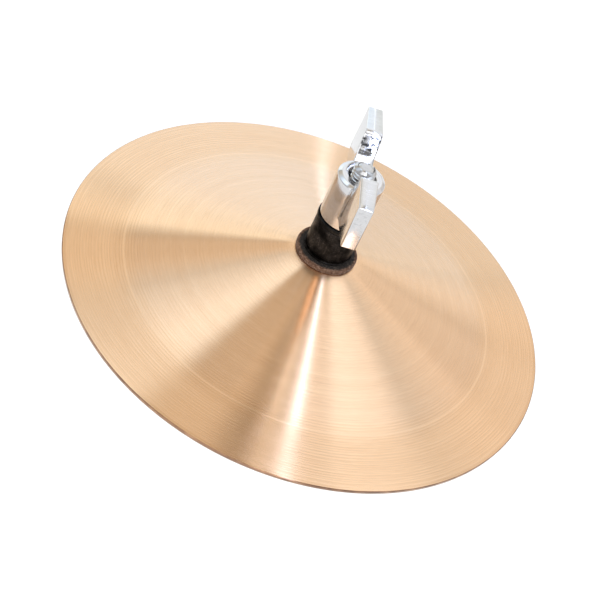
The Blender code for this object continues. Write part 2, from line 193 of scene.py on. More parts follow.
# The edges of the outside and of the lower mouth are broken. The drilled ones stay sharp.
broken = rounded(adapter_outline[:13], 0.12 * MM, 3) + adapter_outline[13:]
adapter = turned("turned_adapter", broken, 160)
for side in (-1, 1):
    near, far = sorted((side * FLAT_DISTANCE, side * CUTTER_REACH))
    cut(adapter, block(
        "flat", (near, -CUTTER_REACH, FLAT_LOW_Z), (far, CUTTER_REACH, FLAT_HIGH_Z)
    ))


class Graph:
    """Short calls for building a node tree."""

    def __init__(self, tree):
        self.tree = tree

    def node(self, kind, **inputs):
        """A node of that kind. A key sets the input of that name, i0 the input in that place,
        and a key with a leading underscore a property."""
        made = self.tree.nodes.new(kind)
        for key, value in inputs.items():
            if key.startswith("_"):
                setattr(made, key[1:], value)
        for key, value in inputs.items():
            if key.startswith("_"):
                continue
            if key[0] == "i" and key[1:].isdigit():
                socket = made.inputs[int(key[1:])]
            else:
                socket = made.inputs[key.replace("_", " ")]
            if isinstance(value, bpy.types.NodeSocket):
                self.tree.links.new(value, socket)
            else:
                socket.default_value = value
        return made

    def math(self, operation, first, second=0.0, third=0.0, clamp=False):
        """One Math node's result."""
        return self.node(
            "ShaderNodeMath", _operation=operation, _use_clamp=clamp, i0=first, i1=second, i2=third
        ).outputs[0]

    def ramp(self, factor, *stops):
        """A colour ramp through (place, colour) stops."""
        made = self.node("ShaderNodeValToRGB", i0=factor)
        elements = made.color_ramp.elements
        while len(elements) < len(stops):
            elements.new(0.5)
        for element, (place, colour) in zip(elements, stops):
            element.position = place
            element.color = (*colour, 1.0)
        return made.outputs[0]

    def spread(self, value, low, high, to_low, to_high):
        """Map a range of numbers on another, held at its ends."""
        return self.node(
            "ShaderNodeMapRange", i0=value, i1=low, i2=high, i3=to_low, i4=to_high
        ).outputs[0]

    def cloud(self, place, scale, detail=3.0, roughness=0.5):
        """A soft noise between 0 and 1, its scale in lumps to the metre."""
        return self.node(
            "ShaderNodeTexNoise", Vector=place, Scale=scale, Detail=detail, Roughness=roughness
        ).outputs[0]

    def distance(self, place):
        """Distance from the Z axis in millimetres, and the height in millimetres."""
        split = self.node("ShaderNodeSeparateXYZ", i0=place)
        flat = self.node("ShaderNodeCombineXYZ", i0=split.outputs[0], i1=split.outputs[1])
        length = self.node("ShaderNodeVectorMath", _operation="LENGTH", i0=flat.outputs[0])
        return (
            self.math("MULTIPLY", length.outputs["Value"], 1000.0),
            self.math("MULTIPLY", split.outputs[2], 1000.0),
        )

    def rings(self, along, scale, detail=2.0):
        """Tool marks: a noise of one length only, its scale in marks to the millimetre."""
        return self.node(
            "ShaderNodeTexNoise", _noise_dimensions="1D", W=along, Scale=scale, Detail=detail
        ).outputs[0]


def new_material(name):
    """A node material with its Graph, its surface shader and the place on the piece."""
    material = bpy.data.materials.new(name)
    material.use_nodes = True
    graph = Graph(material.node_tree)
    place = graph.node("ShaderNodeTexCoord").outputs["Object"]
    return material, graph, material.node_tree.nodes["Principled BSDF"], place


def join(graph, shader, **inputs):
    """Link or set a surface shader's sockets."""
    for key, value in inputs.items():
        socket = shader.inputs[key.replace("_", " ")]
        if isinstance(value, bpy.types.NodeSocket):
            graph.tree.links.new(value, socket)
        else:
            socket.default_value = value


def plated_steel(name, low, high, gloss, marks, depth):
    """Bright plating over turned metal: tool marks, faint haze and handling smears."""
    material, g, shader, place = new_material(name)
    across, up = g.distance(place)
    along = g.math("ADD", across, up)
    turning = g.rings(along, marks)
    haze = g.cloud(place, 260.0, 4.0, 0.6)
    smear = g.cloud(place, 70.0, 2.0)
    grain = g.cloud(place, 2600.0, 2.0)
    tone = g.math("ADD", g.math("MULTIPLY", haze, 0.6), g.math("MULTIPLY", turning, 0.4))
    relief = g.math("ADD", g.math("MULTIPLY", turning, 0.7), g.math("MULTIPLY", grain, 0.3))
    bump = g.node("ShaderNodeBump", Strength=depth, Distance=0.00002, Height=relief)
    join(
        g, shader,
        Base_Color=g.ramp(tone, (0.3, low), (0.7, high)),
        Roughness=g.spread(g.math("MULTIPLY", smear, haze), 0.15, 0.4, gloss * 0.7, gloss * 1.6),
        Normal=bump.outputs[0], Metallic=1.0,
    )
    return material


adapter_chrome = plated_steel(
    "turned_chrome", (0.46, 0.46, 0.475), (0.57, 0.57, 0.58), 0.11, 3.2, 0.35
)
adapter.data.materials.append(adapter_chrome)
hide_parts("stand_adapter")
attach(adapter, "stand")


def thread_tree():
    """A helical ridge of triangular section, run out at both ends into a cone."""
    tree = bpy.data.node_groups.new("helical_thread", "GeometryNodeTree")
    for label, kind in (
        ("Crest Radius", "Float"), ("Root Radius", "Float"), ("Pitch", "Float"),
        ("Bottom", "Float"), ("Top", "Float"), ("Run Out", "Float"),
        ("Points a Turn", "Int"), ("Finish", "Material"),
    ):
        tree.interface.new_socket(label, in_out="INPUT", socket_type="NodeSocket" + kind)
    tree.interface.new_socket("Geometry", in_out="OUTPUT", socket_type="NodeSocketGeometry")
    g = Graph(tree)
    given = tree.nodes.new("NodeGroupInput").outputs
    length = g.math("SUBTRACT", given["Top"], given["Bottom"])
    path = g.node(
        "GeometryNodeCurveSpiral", Resolution=given["Points a Turn"],
        Rotations=g.math("DIVIDE", length, given["Pitch"]),
        Start_Radius=given["Root Radius"], End_Radius=given["Root Radius"],
        Height=length, Reverse=True,
    )
    upright = g.node("GeometryNodeSetCurveNormal", _mode="Z_UP", Curve=path.outputs[0])
    depth = g.math("SUBTRACT", given["Crest Radius"], given["Root Radius"])
    foot = g.math("MULTIPLY", given["Pitch"], 0.44)
    tip = g.math("MULTIPLY", given["Pitch"], 0.07)
    sunk = g.math("MULTIPLY", depth, -0.08)
    corners = [
        g.node("ShaderNodeCombineXYZ", i0=out, i1=g.math("MULTIPLY", up, sign)).outputs[0]
        for out, up, sign in (
            (sunk, foot, 1.0), (depth, tip, 1.0), (depth, tip, -1.0), (sunk, foot, -1.0)
        )
    ]
    ridge = g.node(
        "GeometryNodeCurvePrimitiveQuadrilateral", _mode="POINTS",
        Point_1=corners[0], Point_2=corners[1], Point_3=corners[2], Point_4=corners[3],
    )
    swept = g.node(
        "GeometryNodeCurveToMesh", Curve=upright.outputs[0], Profile_Curve=ridge.outputs[0],
        Fill_Caps=True,
    )
    # Points past the rod's ends are held at them, and near an end the ridge sinks to its root.
    place = g.node("GeometryNodeInputPosition").outputs[0]
    split = g.node("ShaderNodeSeparateXYZ", i0=place)
    flat = g.node("ShaderNodeCombineXYZ", i0=split.outputs[0], i1=split.outputs[1]).outputs[0]
    reach = g.node("ShaderNodeVectorMath", _operation="LENGTH", i0=flat).outputs["Value"]
    height = g.math("MAXIMUM", g.math("MINIMUM", split.outputs[2], length), 0.0)
    from_end = g.math("MINIMUM", height, g.math("SUBTRACT", length, height))
    open_share = g.math("DIVIDE", from_end, given["Run Out"], clamp=True)
    side = g.math("SIGN", depth)
    crest = g.math("ADD", given["Root Radius"], g.math("MULTIPLY", depth, open_share))
    limit = g.math("MULTIPLY", crest, side)
    kept = g.math("MULTIPLY", g.math("MINIMUM", g.math("MULTIPLY", reach, side), limit), side)
    moved = g.node(
        "ShaderNodeVectorMath", _operation="SCALE", i0=flat, Scale=g.math("DIVIDE", kept, reach)
    )
    raised = g.node("ShaderNodeCombineXYZ", i2=g.math("ADD", height, given["Bottom"]))
    spot = g.node(
        "ShaderNodeVectorMath", _operation="ADD", i0=moved.outputs[0], i1=raised.outputs[0]
    )
    shaped = g.node("GeometryNodeSetPosition", Geometry=swept.outputs[0], Position=spot.outputs[0])
    single = g.node("GeometryNodeRealizeInstances", Geometry=shaped.outputs[0])
    finished = g.node(
        "GeometryNodeSetMaterial", Geometry=single.outputs[0], Material=given["Finish"]
    )
    g.node("NodeGroupOutput", Geometry=finished.outputs[0])
    return tree


def grown(name, tree, base=None, **inputs):
    """Run a Geometry Nodes tree with its inputs set, and keep the result as plain mesh."""
    piece = placed(name, base or bpy.data.meshes.new(name))
    modifier = piece.modifiers.new("Make", "NODES")
    modifier.node_group = tree
    for socket in tree.interface.items_tree:
        key = socket.name.replace(" ", "_")
        if socket.in_out == "INPUT" and key in inputs:
            modifier[socket.identifier] = inputs[key]
    settled(piece)
    return piece


thread = thread_tree()
stand_thread = grown(
    "stand_thread", thread, Crest_Radius=STAND_THREAD_CREST, Root_Radius=STAND_THREAD_ROOT,
    Pitch=1.25 * MM, Bottom=0.0, Top=STAND_THREAD_DEPTH - 0.8 * MM, Run_Out=0.6 * MM,
    Points_a_Turn=72, Finish=adapter_chrome,
)
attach(stand_thread, "stand")


# Lock nut
# A zinc-plated hexagon nut, 10 mm across its flats. It locks the rod in the adapter and
# carries the washer. A cone turned on both faces takes off its corners.

LOCK_NUT_LOW_Z = ADAPTER_TOP_Z + 0.25 * MM
LOCK_NUT_HIGH_Z = LOCK_NUT_LOW_Z + 5.0 * MM
LOCK_NUT_CORNER = 10.0 * MM / math.sqrt(3.0)
LOCK_NUT_FACE = 4.9 * MM
LOCK_NUT_CHAMFER = 0.35 * MM

blank_radius = LOCK_NUT_CORNER + 0.5 * MM
drop = (blank_radius - LOCK_NUT_FACE) * math.tan(math.radians(30.0))
nut_blank = [
    (blank_radius, LOCK_NUT_HIGH_Z - drop),
    (LOCK_NUT_FACE, LOCK_NUT_HIGH_Z),
    (ROD_BORE_RADIUS + LOCK_NUT_CHAMFER, LOCK_NUT_HIGH_Z),
    (ROD_BORE_RADIUS, LOCK_NUT_HIGH_Z - LOCK_NUT_CHAMFER),
    (ROD_BORE_RADIUS, LOCK_NUT_LOW_Z + LOCK_NUT_CHAMFER),
    (ROD_BORE_RADIUS + LOCK_NUT_CHAMFER, LOCK_NUT_LOW_Z),
    (LOCK_NUT_FACE, LOCK_NUT_LOW_Z),
    (blank_radius, LOCK_NUT_LOW_Z + drop),
]
lock_nut = turned("hexagon_lock_nut", nut_blank, 144)
solid = bmesh.new()
bmesh.ops.create_cone(
    solid, cap_ends=True, segments=6, radius1=LOCK_NUT_CORNER, radius2=LOCK_NUT_CORNER,
    depth=8.0 * MM,
)
middle = (LOCK_NUT_LOW_Z + LOCK_NUT_HIGH_Z) / 2.0
bmesh.ops.translate(solid, verts=solid.verts, vec=(0.0, 0.0, middle))
upright_edges = [
    edge for edge in solid.edges if abs(edge.verts[0].co.z - edge.verts[1].co.z) > 1.0 * MM
]
bmesh.ops.bevel(
    solid, geom=upright_edges, offset=0.22 * MM, segments=3, affect="EDGES", profile=0.5
)
mesh = bpy.data.meshes.new("hexagon")
solid.to_mesh(mesh)
solid.free()
cut(lock_nut, placed("hexagon", mesh), "INTERSECT")

zinc, g, shader, place = new_material("blued_zinc")
spangle = g.node(
    "ShaderNodeTexVoronoi", _feature="SMOOTH_F1", Vector=place, Scale=1500.0, Smoothness=0.8
)
patch = g.cloud(place, 320.0, 4.0, 0.6)
drawn_out = g.node("ShaderNodeMapping", Vector=place, Scale=(1.0, 1.0, 0.08)).outputs[0]
scuff = g.cloud(drawn_out, 2400.0, 2.0)
tone = g.math("ADD", g.math("MULTIPLY", patch, 0.7), g.math("MULTIPLY", scuff, 0.3))
relief = g.math("ADD", scuff, g.math("MULTIPLY", spangle.outputs["Distance"], 0.4))
bump = g.node("ShaderNodeBump", Strength=0.35, Distance=0.00002, Height=relief)
join(
    g, shader,
    Base_Color=g.ramp(
        tone, (0.3, (0.46, 0.48, 0.52)), (0.55, (0.56, 0.565, 0.58)), (0.75, (0.64, 0.62, 0.58))
    ),
    Roughness=g.spread(patch, 0.3, 0.7, 0.2, 0.36), Normal=bump.outputs[0], Metallic=1.0,
)
lock_nut.data.materials.append(zinc)
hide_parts("lock_nut")
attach(lock_nut, "stand")


# Threaded rod
# A length of M6 steel rod with a rolled thread, 1 mm to the turn. It screws into the adapter
# and carries everything above. Its chamfered end stands out of the wing nut.

ROD_CREST = 2.9 * MM
ROD_ROOT = 2.3 * MM
ROD_LOW_Z = 17.0 * MM
ROD_HIGH_Z = 65.1 * MM

rod_steel = plated_steel("rolled_steel", (0.52, 0.52, 0.53), (0.64, 0.64, 0.645), 0.13, 5.0, 0.3)
core = [
    (ROD_ROOT, ROD_HIGH_Z - 0.55 * MM),
    (ROD_ROOT - 0.42 * MM, ROD_HIGH_Z - 0.12 * MM),
    (ROD_ROOT - 0.56 * MM, ROD_HIGH_Z - 0.04 * MM),
    (ROD_ROOT - 1.1 * MM, ROD_HIGH_Z),
    (0.0, ROD_HIGH_Z),
    (0.0, ROD_LOW_Z),
    (ROD_ROOT - 0.06 * MM, ROD_LOW_Z),
    (ROD_ROOT, ROD_LOW_Z + 0.06 * MM),
]
rod_core = turned("rod_core", core, 64)
rod_core.data.materials.append(rod_steel)
rod_thread = grown(
    "rod_thread", thread, Crest_Radius=ROD_CREST, Root_Radius=ROD_ROOT, Pitch=1.0 * MM,
    Bottom=ROD_LOW_Z, Top=ROD_HIGH_Z, Run_Out=0.6 * MM, Points_a_Turn=64, Finish=rod_steel,
)
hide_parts("threaded_rod")
for piece in (rod_core, rod_thread):
    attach(piece, "stand")


# Seat washer
# A turned, chromed washer on the lock nut. Its flat upper face carries the lower felt.

SEAT_WASHER_RADIUS = 8.8 * MM
SEAT_WASHER_Z = 29.5 * MM
SEAT_WASHER_TOP_Z = SEAT_WASHER_Z + 1.2 * MM

seat_washer = turned("turned_seat_washer", rounded([
    (SEAT_WASHER_RADIUS, SEAT_WASHER_TOP_Z), (ROD_BORE_RADIUS, SEAT_WASHER_TOP_Z),
    (ROD_BORE_RADIUS, SEAT_WASHER_Z), (SEAT_WASHER_RADIUS, SEAT_WASHER_Z),
], 0.28 * MM, 5), 160)
seat_washer.data.materials.append(
    plated_steel("faced_chrome", (0.47, 0.47, 0.485), (0.57, 0.57, 0.58), 0.14, 6.0, 0.5)
)
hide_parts("seat_washer")
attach(seat_washer, "stand")


# Felts
# Two rings punched from pressed wool, a thick one under the chime and a thin one on it. Their
# cut sides are ragged, and loose fibres stand out of every face.

FELT_RADIUS = 7.92 * MM
FELT_HOLE_RADIUS = 4.3 * MM
FELT_STEP = 0.22 * MM
LUMP_HEIGHT = 0.035 * MM
RAG_DEPTH = 0.04 * MM


def fibre_tree():
    """Short bent wool fibres, scattered over a surface and laid almost flat on it."""
    tree = bpy.data.node_groups.new("loose_fibres", "GeometryNodeTree")
    tree.interface.new_socket("Geometry", in_out="INPUT", socket_type="NodeSocketGeometry")
    for label, kind in (
        ("Fibres a Square Metre", "Float"), ("Length", "Float"), ("Thickness", "Float"),
        ("Lift", "Float"), ("Seed", "Int"), ("Finish", "Material"),
    ):
        tree.interface.new_socket(label, in_out="INPUT", socket_type="NodeSocket" + kind)
    tree.interface.new_socket("Geometry", in_out="OUTPUT", socket_type="NodeSocketGeometry")
    g = Graph(tree)
    given = tree.nodes.new("NodeGroupInput").outputs
    spread = g.node(
        "GeometryNodeDistributePointsOnFaces", Mesh=given["Geometry"],
        Density=given["Fibres a Square Metre"], Seed=given["Seed"],
    )
    half = g.math("MULTIPLY", given["Length"], 0.5)
    aside = g.math("MULTIPLY", half, 0.7)
    path = g.node(
        "GeometryNodeCurveQuadraticBezier", Resolution=4,
        Start=g.node("ShaderNodeCombineXYZ", i0=g.math("MULTIPLY", half, -1.0)).outputs[0],
        Middle=g.node("ShaderNodeCombineXYZ", i1=aside, i2=given["Lift"]).outputs[0],
        End=g.node("ShaderNodeCombineXYZ", i0=half).outputs[0],
    )
    strand = g.node("GeometryNodeCurvePrimitiveCircle", Resolution=3, Radius=given["Thickness"])
    fibre = g.node(
        "GeometryNodeCurveToMesh", Curve=path.outputs[0], Profile_Curve=strand.outputs[0],
        Fill_Caps=True,
    )
    turn = g.node(
        "FunctionNodeRandomValue", _data_type="FLOAT_VECTOR", i0=(-0.35, -0.35, 0.0),
        i1=(0.35, 0.35, 6.283), Seed=g.math("ADD", given["Seed"], 7.0),
    )
    size = g.node(
        "FunctionNodeRandomValue", _data_type="FLOAT", i2=0.45, i3=1.25,
        Seed=g.math("ADD", given["Seed"], 11.0),
    )
    laid = g.node(
        "FunctionNodeRotateRotation", _rotation_space="LOCAL",
        Rotation=spread.outputs["Rotation"], Rotate_By=turn.outputs[0],
    )
    strewn = g.node(
        "GeometryNodeInstanceOnPoints", Points=spread.outputs["Points"],
        Instance=fibre.outputs[0], Rotation=laid.outputs[0], Scale=size.outputs[1],
    )
    single = g.node("GeometryNodeRealizeInstances", Geometry=strewn.outputs[0])
    finished = g.node(
        "GeometryNodeSetMaterial", Geometry=single.outputs[0], Material=given["Finish"]
    )
    g.node("NodeGroupOutput", Geometry=finished.outputs[0])
    return tree


def pressed_ring(name, base, thickness):
    """A punched felt ring with lumpy faces and ragged sides."""
    outline = rounded([
        (FELT_RADIUS, base + thickness), (FELT_HOLE_RADIUS, base + thickness),
        (FELT_HOLE_RADIUS, base), (FELT_RADIUS, base),
    ], 0.22 * MM, 3)
    filled = []
    for near, far in zip(outline, outline[1:] + outline[:1]):
        count = max(1, round(math.dist(near, far) / FELT_STEP))
        filled += [between(near, far, step / count) for step in range(count)]
    ring = turned(name, filled, 220)
    for vert in ring.data.vertices:
        lump = noise.fractal(vert.co * 1600.0, 0.6, 2.0, 4)
        rag = noise.noise(vert.co * 700.0)
        out = Vector((vert.co.x, vert.co.y, 0.0)).normalized()
        vert.co += vert.normal * lump * LUMP_HEIGHT + out * rag * RAG_DEPTH
    return ring


wool, g, shader, place = new_material("pressed_wool")
fleck = g.cloud(place, 2300.0, 4.0, 0.7)
felted = g.node(
    "ShaderNodeTexNoise", Vector=place, Scale=900.0, Detail=5.0, Roughness=0.7, Distortion=1.6
)
shade = g.math("ADD", g.math("MULTIPLY", fleck, 0.55), g.math("MULTIPLY", felted.outputs[0], 0.45))
bump = g.node("ShaderNodeBump", Strength=0.9, Distance=0.00008, Height=shade)
# Near the rod the wool is painted near-black: its own dark colour, deepened as painted shade under
# the spacer. At its cut edge it is painted brown as bounce light from the bronze, with a ragged
# border.
across = g.distance(place)[0]
dark_and_shaded_centre = g.ramp(
    shade, (0.36, (0.01, 0.008, 0.007)), (0.56, (0.035, 0.028, 0.023)), (0.68, (0.13, 0.105, 0.085))
)
# Painted bounce light: the brown of the bronze's glow on the felt's cut edge.
bronze_lit_edge = g.ramp(
    shade, (0.34, (0.05, 0.024, 0.014)), (0.50, (0.15, 0.078, 0.048)), (0.66, (0.40, 0.26, 0.18))
)
border = g.math("MULTIPLY_ADD", g.math("SUBTRACT", fleck, 0.5), 1.2, across)
wool_colour = g.node(
    "ShaderNodeMix", _data_type="RGBA", i0=g.spread(border, 7.1, 7.55, 0.0, 1.0),
    i6=dark_and_shaded_centre, i7=bronze_lit_edge,
)
join(
    g, shader, Base_Color=wool_colour.outputs[2],
    Roughness=g.spread(fleck, 0.3, 0.7, 0.88, 1.0), Normal=bump.outputs[0],
    Sheen_Weight=0.12, Sheen_Roughness=0.5, Specular_IOR_Level=0.1,
)
loose_wool, g, shader, place = new_material("loose_wool")
shade = g.cloud(place, 420.0, 3.0, 0.6)
join(
    g, shader,
    Base_Color=g.ramp(
        shade, (0.35, (0.03, 0.022, 0.017)), (0.5, (0.11, 0.08, 0.06)), (0.65, (0.38, 0.29, 0.23))
    ),
    Roughness=g.spread(shade, 0.3, 0.7, 0.7, 0.9), Specular_IOR_Level=0.2,
)
fibres = fibre_tree()
# Felt gives when the chime rocks, but here both felts are baked in place, and the two body names
# listed for each are not read.
for name, base, thickness, below, above, seed in (
    ("lower_felt", 30.74 * MM, 3.44 * MM, "stand", "lower_felt", 3),
    ("upper_felt", 35.36 * MM, 1.36 * MM, "upper_felt", "lower_felt", 8),
):
    pad = pressed_ring("pressed_" + name, base, thickness)
    fluff = grown(
        "fibres_" + name, fibres, pad.data.copy(), Fibres_a_Square_Metre=3.2e6, Length=0.6 * MM,
        Thickness=0.009 * MM, Lift=0.08 * MM, Seed=seed, Finish=loose_wool,
    )
    pad.data.materials.append(wool)
    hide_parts(name)
    for piece in (pad, fluff):
        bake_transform(piece)


# Rod sleeve
# A thin black nylon tube on the rod. It passes through both felts and the chime, and keeps
# the bronze off the thread.

SLEEVE_RADIUS = 4.0 * MM
SLEEVE_LOW_Z = 30.95 * MM
SLEEVE_HIGH_Z = 36.55 * MM

rod_sleeve = turned("nylon_rod_sleeve", rounded([
    (SLEEVE_RADIUS, SLEEVE_HIGH_Z), (ROD_BORE_RADIUS, SLEEVE_HIGH_Z),
    (ROD_BORE_RADIUS, SLEEVE_LOW_Z), (SLEEVE_RADIUS, SLEEVE_LOW_Z),
], 0.18 * MM, 3), 96)


def nylon(name, low, high, gloss, marks, depth):
    """Turned black nylon: fine rings of the tool, grey dust in the pores and worn patches."""
    material, g, shader, place = new_material(name)
    across, up = g.distance(place)
    turning = g.rings(g.math("ADD", across, up), marks, 3.0)
    pore = g.cloud(place, 2600.0, 3.0, 0.65)
    worn = g.cloud(place, 330.0, 4.0, 0.6)
    dust = g.math(
        "MULTIPLY", g.spread(pore, 0.5, 0.68, 0.0, 1.0), g.spread(worn, 0.4, 0.65, 0.15, 1.0)
    )
    tone = g.math("ADD", g.math("MULTIPLY", dust, 0.6), g.math("MULTIPLY", worn, 0.4))
    relief = g.math("ADD", g.math("MULTIPLY", turning, 0.6), g.math("MULTIPLY", pore, 0.4))
    bump = g.node("ShaderNodeBump", Strength=depth, Distance=0.00004, Height=relief)
    dusty = [0.7 * dark + 0.3 * pale for dark, pale in zip(low, high)]
    join(
        g, shader,
        Base_Color=g.ramp(tone, (0.15, low), (0.45, dusty), (0.75, high)),
        Roughness=g.spread(worn, 0.3, 0.7, gloss * 1.25, gloss * 0.8),
        Normal=bump.outputs[0], Specular_IOR_Level=g.spread(worn, 0.4, 0.65, 0.03, 0.20),
    )
    return material


sleeve_black = nylon(
    "turned_black_nylon", (0.003, 0.0022, 0.0018), (0.075, 0.058, 0.047), 0.32, 5.0, 0.5
)
rod_sleeve.data.materials.append(sleeve_black)
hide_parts("rod_sleeve")
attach(rod_sleeve, "stand")


# Bronze chime
# A thin cone of cast and rolled bronze, turned on a lathe inside and out and then lacquered.
# A flatter band runs round its rim. It hangs loose between the felts.

CHIME_RADIUS = 63.43 * MM
CHIME_WALL = 1.1 * MM
CHIME_SEAT_Z = 35.3 * MM
CHIME_RIM_Z = 18.9 * MM
CHIME_HOLE_RADIUS = 5.8 * MM
CHIME_SEAT_RADIUS = 8.6 * MM
RING_RADIUS = 48.65 * MM
RING_Z = CHIME_RIM_Z + 2.75 * MM
RIM_ROUNDING = 0.28 * MM
# The material's own places on the chime, in millimetres from the rod.
SEAM_MM, SEAM_HALF_WIDTH_MM = 48.5, 0.4
BAND_FADE_MM = (44.0, 50.0)
RAW_EDGE_MM = (63.1, 63.3)


def bend(before, corner, after, length, steps):
    """A smooth curve in place of an open outline's corner."""
    legs = [
        between(corner, neighbour, min(length / math.dist(corner, neighbour), 0.45))
        for neighbour in (before, after)
    ]
    return curved(legs[0], corner, legs[1], steps)


def chime_outline():
    """Upper side from the hole to the rim, the rounded rim, then the underside back."""
    hole, seat = (CHIME_HOLE_RADIUS, CHIME_SEAT_Z), (CHIME_SEAT_RADIUS, CHIME_SEAT_Z)
    ring, rim = (RING_RADIUS, RING_Z), (CHIME_RADIUS, CHIME_RIM_Z)
    bends = bend(hole, seat, ring, 2.4 * MM, 10) + bend(seat, ring, rim, 3.6 * MM, 14)
    corners = [hole] + bends + [rim]
    upper = [hole]
    for near, far in zip(corners, corners[1:]):
        count = max(1, round(math.dist(near, far) / (1.5 * MM)))
        upper += [between(near, far, step / count) for step in range(1, count + 1)]
    lower = []
    for index, point in enumerate(upper):
        before, after = upper[max(index - 1, 0)], upper[min(index + 1, len(upper) - 1)]
        along = (after[0] - before[0], after[1] - before[1])
        share = CHIME_WALL / math.hypot(*along)
        lower.append((point[0] + along[1] * share, point[1] - along[0] * share))
    top, foot = upper[-1], lower[-1]
    leg = RIM_ROUNDING / math.dist(top, upper[-2])
    edge = curved(between(top, upper[-2], leg), top, between(top, foot, 0.25), 4)
    edge += curved(between(top, foot, 0.75), foot, between(foot, lower[-2], leg), 4)
    return upper[:-1] + edge + lower[-2::-1]


chime = turned("bronze_cone", chime_outline(), 480)

# The tool's rings, short strokes and the ring line lean the normal outwards and inwards.
bronze, g, shader, place = new_material("lathe_turned_bronze")
across = g.distance(place)[0]
split = g.node("ShaderNodeSeparateXYZ", i0=place)
outward = g.node("ShaderNodeCombineXYZ", i0=split.outputs[0], i1=split.outputs[1]).outputs[0]
outward = g.node("ShaderNodeVectorMath", _operation="NORMALIZE", i0=outward).outputs[0]
wobble = g.cloud(place, 40.0, 2.0)
row = g.math("MULTIPLY_ADD", wobble, 0.08, across)
fine = g.rings(row, 5.0, 2.0)
coarse = g.rings(row, 0.4, 1.0)
groove = g.math("SINE", g.math("MULTIPLY_ADD", coarse, 12.0, g.math("MULTIPLY", across, 8.6)))
groove = g.math("MULTIPLY", groove, g.spread(g.cloud(place, 55.0, 1.0), 0.35, 0.65, 0.25, 1.0))
groove = g.math("MULTIPLY", groove, g.spread(across, 43.0, 50.0, 0.45, 1.0))
arc = g.node("ShaderNodeVectorMath", _operation="SCALE", i0=outward, Scale=11.0).outputs[0]
row_height = g.node("ShaderNodeCombineXYZ", i2=g.math("MULTIPLY", row, 4.0)).outputs[0]
stroke_place = g.node("ShaderNodeVectorMath", _operation="ADD", i0=arc, i1=row_height).outputs[0]
strokes = g.cloud(stroke_place, 1.0, 3.0, 0.6)
from_seam = g.math("ABSOLUTE", g.math("SUBTRACT", across, SEAM_MM))
seam = g.math("SUBTRACT", 1.0, g.math("DIVIDE", from_seam, SEAM_HALF_WIDTH_MM), clamp=True)
slope = g.math("MULTIPLY", groove, 0.008)
slope = g.math("MULTIPLY_ADD", g.math("SUBTRACT", fine, 0.5), 0.05, slope)
slope = g.math("MULTIPLY_ADD", g.math("SUBTRACT", coarse, 0.5), 0.012, slope)
slope = g.math("MULTIPLY_ADD", g.math("SUBTRACT", strokes, 0.5), 0.03, slope)
slope = g.math("MULTIPLY_ADD", seam, -0.07, slope)
tangent = g.node(
    "ShaderNodeVectorTransform", _vector_type="VECTOR", _convert_from="OBJECT",
    _convert_to="WORLD", i0=outward,
).outputs[0]
facing = g.node("ShaderNodeNewGeometry").outputs["Normal"]


def tilted(amount):
    """The surface's normal, leaned outwards from the rod by a slope."""
    lean = g.node("ShaderNodeVectorMath", _operation="SCALE", i0=tangent, Scale=amount).outputs[0]
    leant = g.node("ShaderNodeVectorMath", _operation="ADD", i0=facing, i1=lean).outputs[0]
    return g.node("ShaderNodeVectorMath", _operation="NORMALIZE", i0=leant).outputs[0]


lacquer = g.math("MULTIPLY", g.math("SUBTRACT", g.rings(across, 11.0, 1.0), 0.5), 1.4)
tone = g.math("MULTIPLY_ADD", groove, 0.13, g.math("MULTIPLY", strokes, 0.45))
# The ring line is also painted lighter in the colour, as a painted highlight along it.
tone = g.math("MULTIPLY_ADD", seam, 0.24, tone)
tone = g.math("ADD", tone, g.math("MULTIPLY_ADD", fine, 0.40, g.math("MULTIPLY", coarse, 0.15)))
cone_colour = g.ramp(tone, (0.30, (0.80, 0.505, 0.295)), (0.70, (0.90, 0.61, 0.38)))
band_colour = g.ramp(tone, (0.30, (0.765, 0.465, 0.25)), (0.70, (0.88, 0.58, 0.345)))
turned_colour = g.node(
    "ShaderNodeMix", _data_type="RGBA", i0=g.spread(across, *BAND_FADE_MM, 0.0, 1.0),
    i6=cone_colour, i7=band_colour,
).outputs[2]
# The rim's edge is left raw and has darkened.
raw = g.ramp(g.cloud(place, 300.0, 3.0), (0.35, (0.24, 0.115, 0.055)), (0.65, (0.46, 0.25, 0.13)))
colour = g.node(
    "ShaderNodeMix", _data_type="RGBA", i0=g.spread(across, *RAW_EDGE_MM, 0.0, 1.0),
    i6=turned_colour, i7=raw,
)
join(
    g, shader, Base_Color=colour.outputs[2],
    Roughness=g.spread(wobble, 0.3, 0.7, 0.205, 0.215),
    Normal=tilted(slope), Tangent=tangent, Coat_Normal=tilted(lacquer),
    Metallic=1.0, Anisotropic=1.0, Coat_Weight=1.0, Coat_Roughness=0.12,
)
chime.data.materials.append(bronze)
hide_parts("chime")
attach(chime, "chime")


# Spacer
# A cylinder turned from black nylon that rests on the upper felt. A groove and a thin
# rounded lip run round its foot.

SPACER_Z = 36.8 * MM
SPACER_RADIUS = 6.15 * MM
SPACER_HIGH_Z = SPACER_Z + 9.8 * MM
SPACER_GROOVE_RADIUS = SPACER_RADIUS - 0.5 * MM
LIP_REACH = 6.05 * MM
LIP_RADIUS = 0.3 * MM

lip = []
for step in range(9):
    angle = math.pi / 2.0 - math.pi * step / 8
    lip.append((
        LIP_REACH + LIP_RADIUS * math.cos(angle),
        SPACER_Z + LIP_RADIUS + LIP_RADIUS * math.sin(angle),
    ))
wall = rounded([
    (ROD_BORE_RADIUS, SPACER_HIGH_Z),
    (SPACER_RADIUS, SPACER_HIGH_Z),
    (SPACER_RADIUS, SPACER_Z + 1.5 * MM),
    (SPACER_GROOVE_RADIUS, SPACER_Z + 1.0 * MM),
    (SPACER_GROOVE_RADIUS, SPACER_Z + 2.0 * LIP_RADIUS),
    (ROD_BORE_RADIUS, SPACER_Z + 2.0 * LIP_RADIUS),
], 0.18 * MM, 4)
# The lip takes the place of the last corner, whose five points go.
spacer = turned("nylon_spacer", wall[:-5] + lip + [(ROD_BORE_RADIUS, SPACER_Z)], 160)
spacer.data.materials.append(sleeve_black)
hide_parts("spacer_sleeve")
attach(spacer, "stand")


